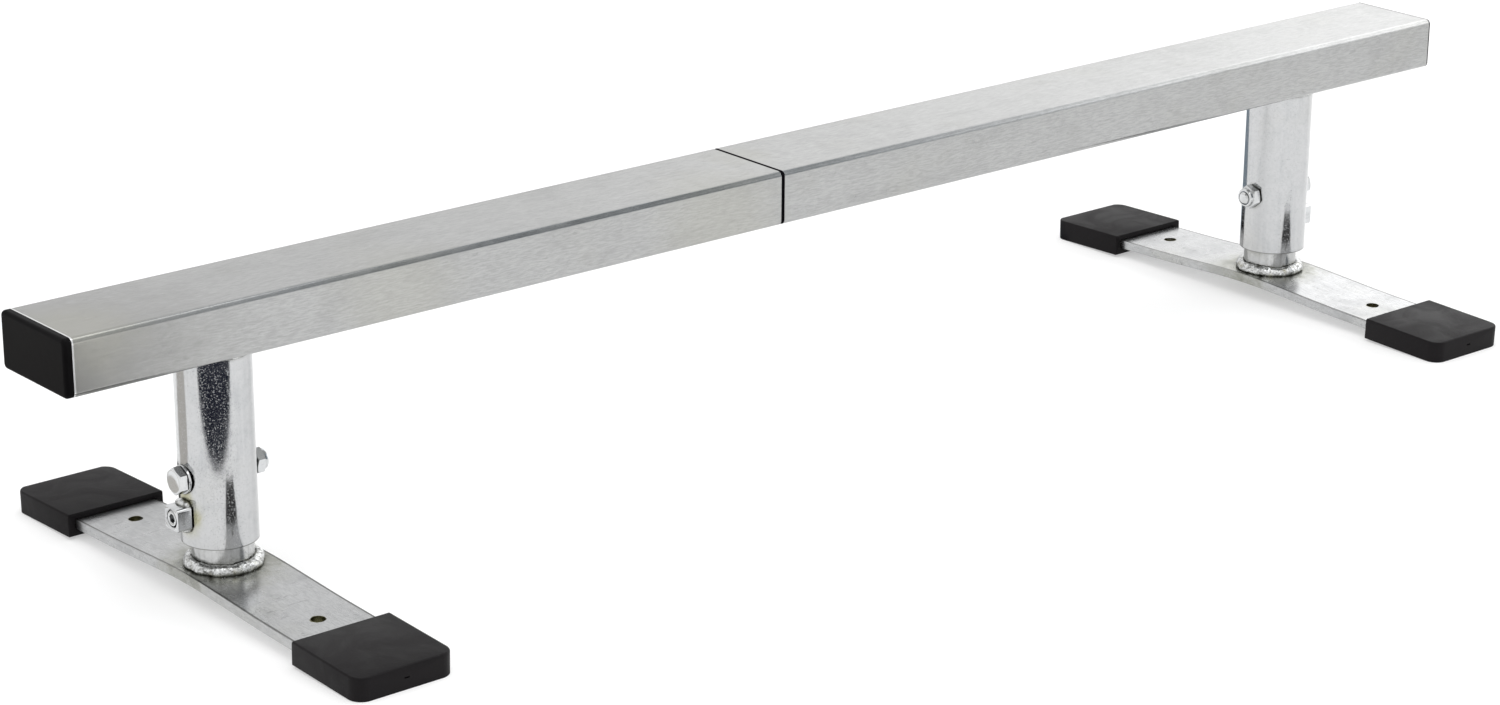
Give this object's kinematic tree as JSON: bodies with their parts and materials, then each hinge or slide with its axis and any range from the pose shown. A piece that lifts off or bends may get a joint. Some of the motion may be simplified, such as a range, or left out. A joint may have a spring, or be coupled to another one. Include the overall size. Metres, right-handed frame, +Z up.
{
  "type": "low balance beam rail",
  "caption": "Low metal balance rail: a rectangular two-section beam with a black seam ring, on telescopic bolted round legs and bent flat feet with rubber boots.",
  "frame": {"origin": "on the floor, under the middle of the rail's length and width", "axes": "+X along the rail from the near section to the far section, +Y across the rail towards the back boots, +Z up"},
  "size_m": [1.2876, 0.426, 0.215],
  "materials": {
    "zinc_tube": "zinc plated, satin with lengthwise streaks",
    "zinc_leg": "zinc plated, glossy, slightly spangled",
    "zinc_bar": "zinc plated, satin",
    "zinc_fastener": "bright zinc plated",
    "weld_metal": "weld bead, zinc plated, rippled",
    "cap_plastic": "black satin moulded plastic",
    "boot_rubber": "black moulded rubber",
    "seam_rubber": "black rubber ring",
    "nylon": "nylon ring"
  },
  "bodies": {
    "near_section": {"near_rail_tube": "zinc_tube", "near_end_cap": "cap_plastic", "seam_gasket": "seam_rubber", "connector_tube": "zinc_tube", "connector_screws": "zinc_fastener", "connector_nuts": "zinc_fastener", "near_leg_sleeve": "zinc_leg", "near_sleeve_weld": "weld_metal", "near_cross_bolt": "zinc_fastener", "near_bolt_washer": "zinc_fastener", "near_lock_nut": "zinc_fastener", "near_lock_nut_insert": "nylon", "near_weld_nut": "zinc_fastener", "near_weld_nut_beads": "weld_metal"},
    "far_section": {"far_rail_tube": "zinc_tube", "far_end_cap": "cap_plastic", "seam_clamp_nut": "zinc_fastener", "seam_clamp_welds": "weld_metal", "far_leg_sleeve": "zinc_leg", "far_sleeve_weld": "weld_metal", "far_cross_bolt": "zinc_fastener", "far_bolt_washer": "zinc_fastener", "far_lock_nut": "zinc_fastener", "far_lock_nut_insert": "nylon", "far_weld_nut": "zinc_fastener", "far_weld_nut_beads": "weld_metal"},
    "near_foot": {"near_leg_stub": "zinc_leg", "near_stub_weld": "weld_metal", "near_foot_bar": "zinc_bar", "near_front_boot": "boot_rubber", "near_back_boot": "boot_rubber"},
    "far_foot": {"far_leg_stub": "zinc_leg", "far_stub_weld": "weld_metal", "far_foot_bar": "zinc_bar", "far_front_boot": "boot_rubber", "far_back_boot": "boot_rubber"},
    "near_clamp_screw": {"near_set_screw": "zinc_fastener"},
    "far_clamp_screw": {"far_set_screw": "zinc_fastener"},
    "seam_clamp_screw": {"seam_set_screw": "zinc_fastener"}
  },
  "joints": [
    {"name": "near_leg_extension", "type": "slide", "parent": "near_section", "child": "near_foot", "axis": [0, 0, -1], "range_m": [0, 0.07]},
    {"name": "far_leg_extension", "type": "slide", "parent": "far_section", "child": "far_foot", "axis": [0, 0, -1], "range_m": [0, 0.07]},
    {"name": "section_pull_apart", "type": "slide", "parent": "near_section", "child": "far_section", "axis": [1, 0, 0], "range_m": [0, 0.15]},
    {"name": "near_clamp_screw_release", "type": "slide", "parent": "near_section", "child": "near_clamp_screw", "axis": [-1, 0, 0], "range_m": [0, 0.006]},
    {"name": "far_clamp_screw_release", "type": "slide", "parent": "far_section", "child": "far_clamp_screw", "axis": [1, 0, 0], "range_m": [0, 0.006]},
    {"name": "seam_clamp_screw_release", "type": "slide", "parent": "far_section", "child": "seam_clamp_screw", "axis": [0, 0, -1], "range_m": [0, 0.004]}
  ]
}
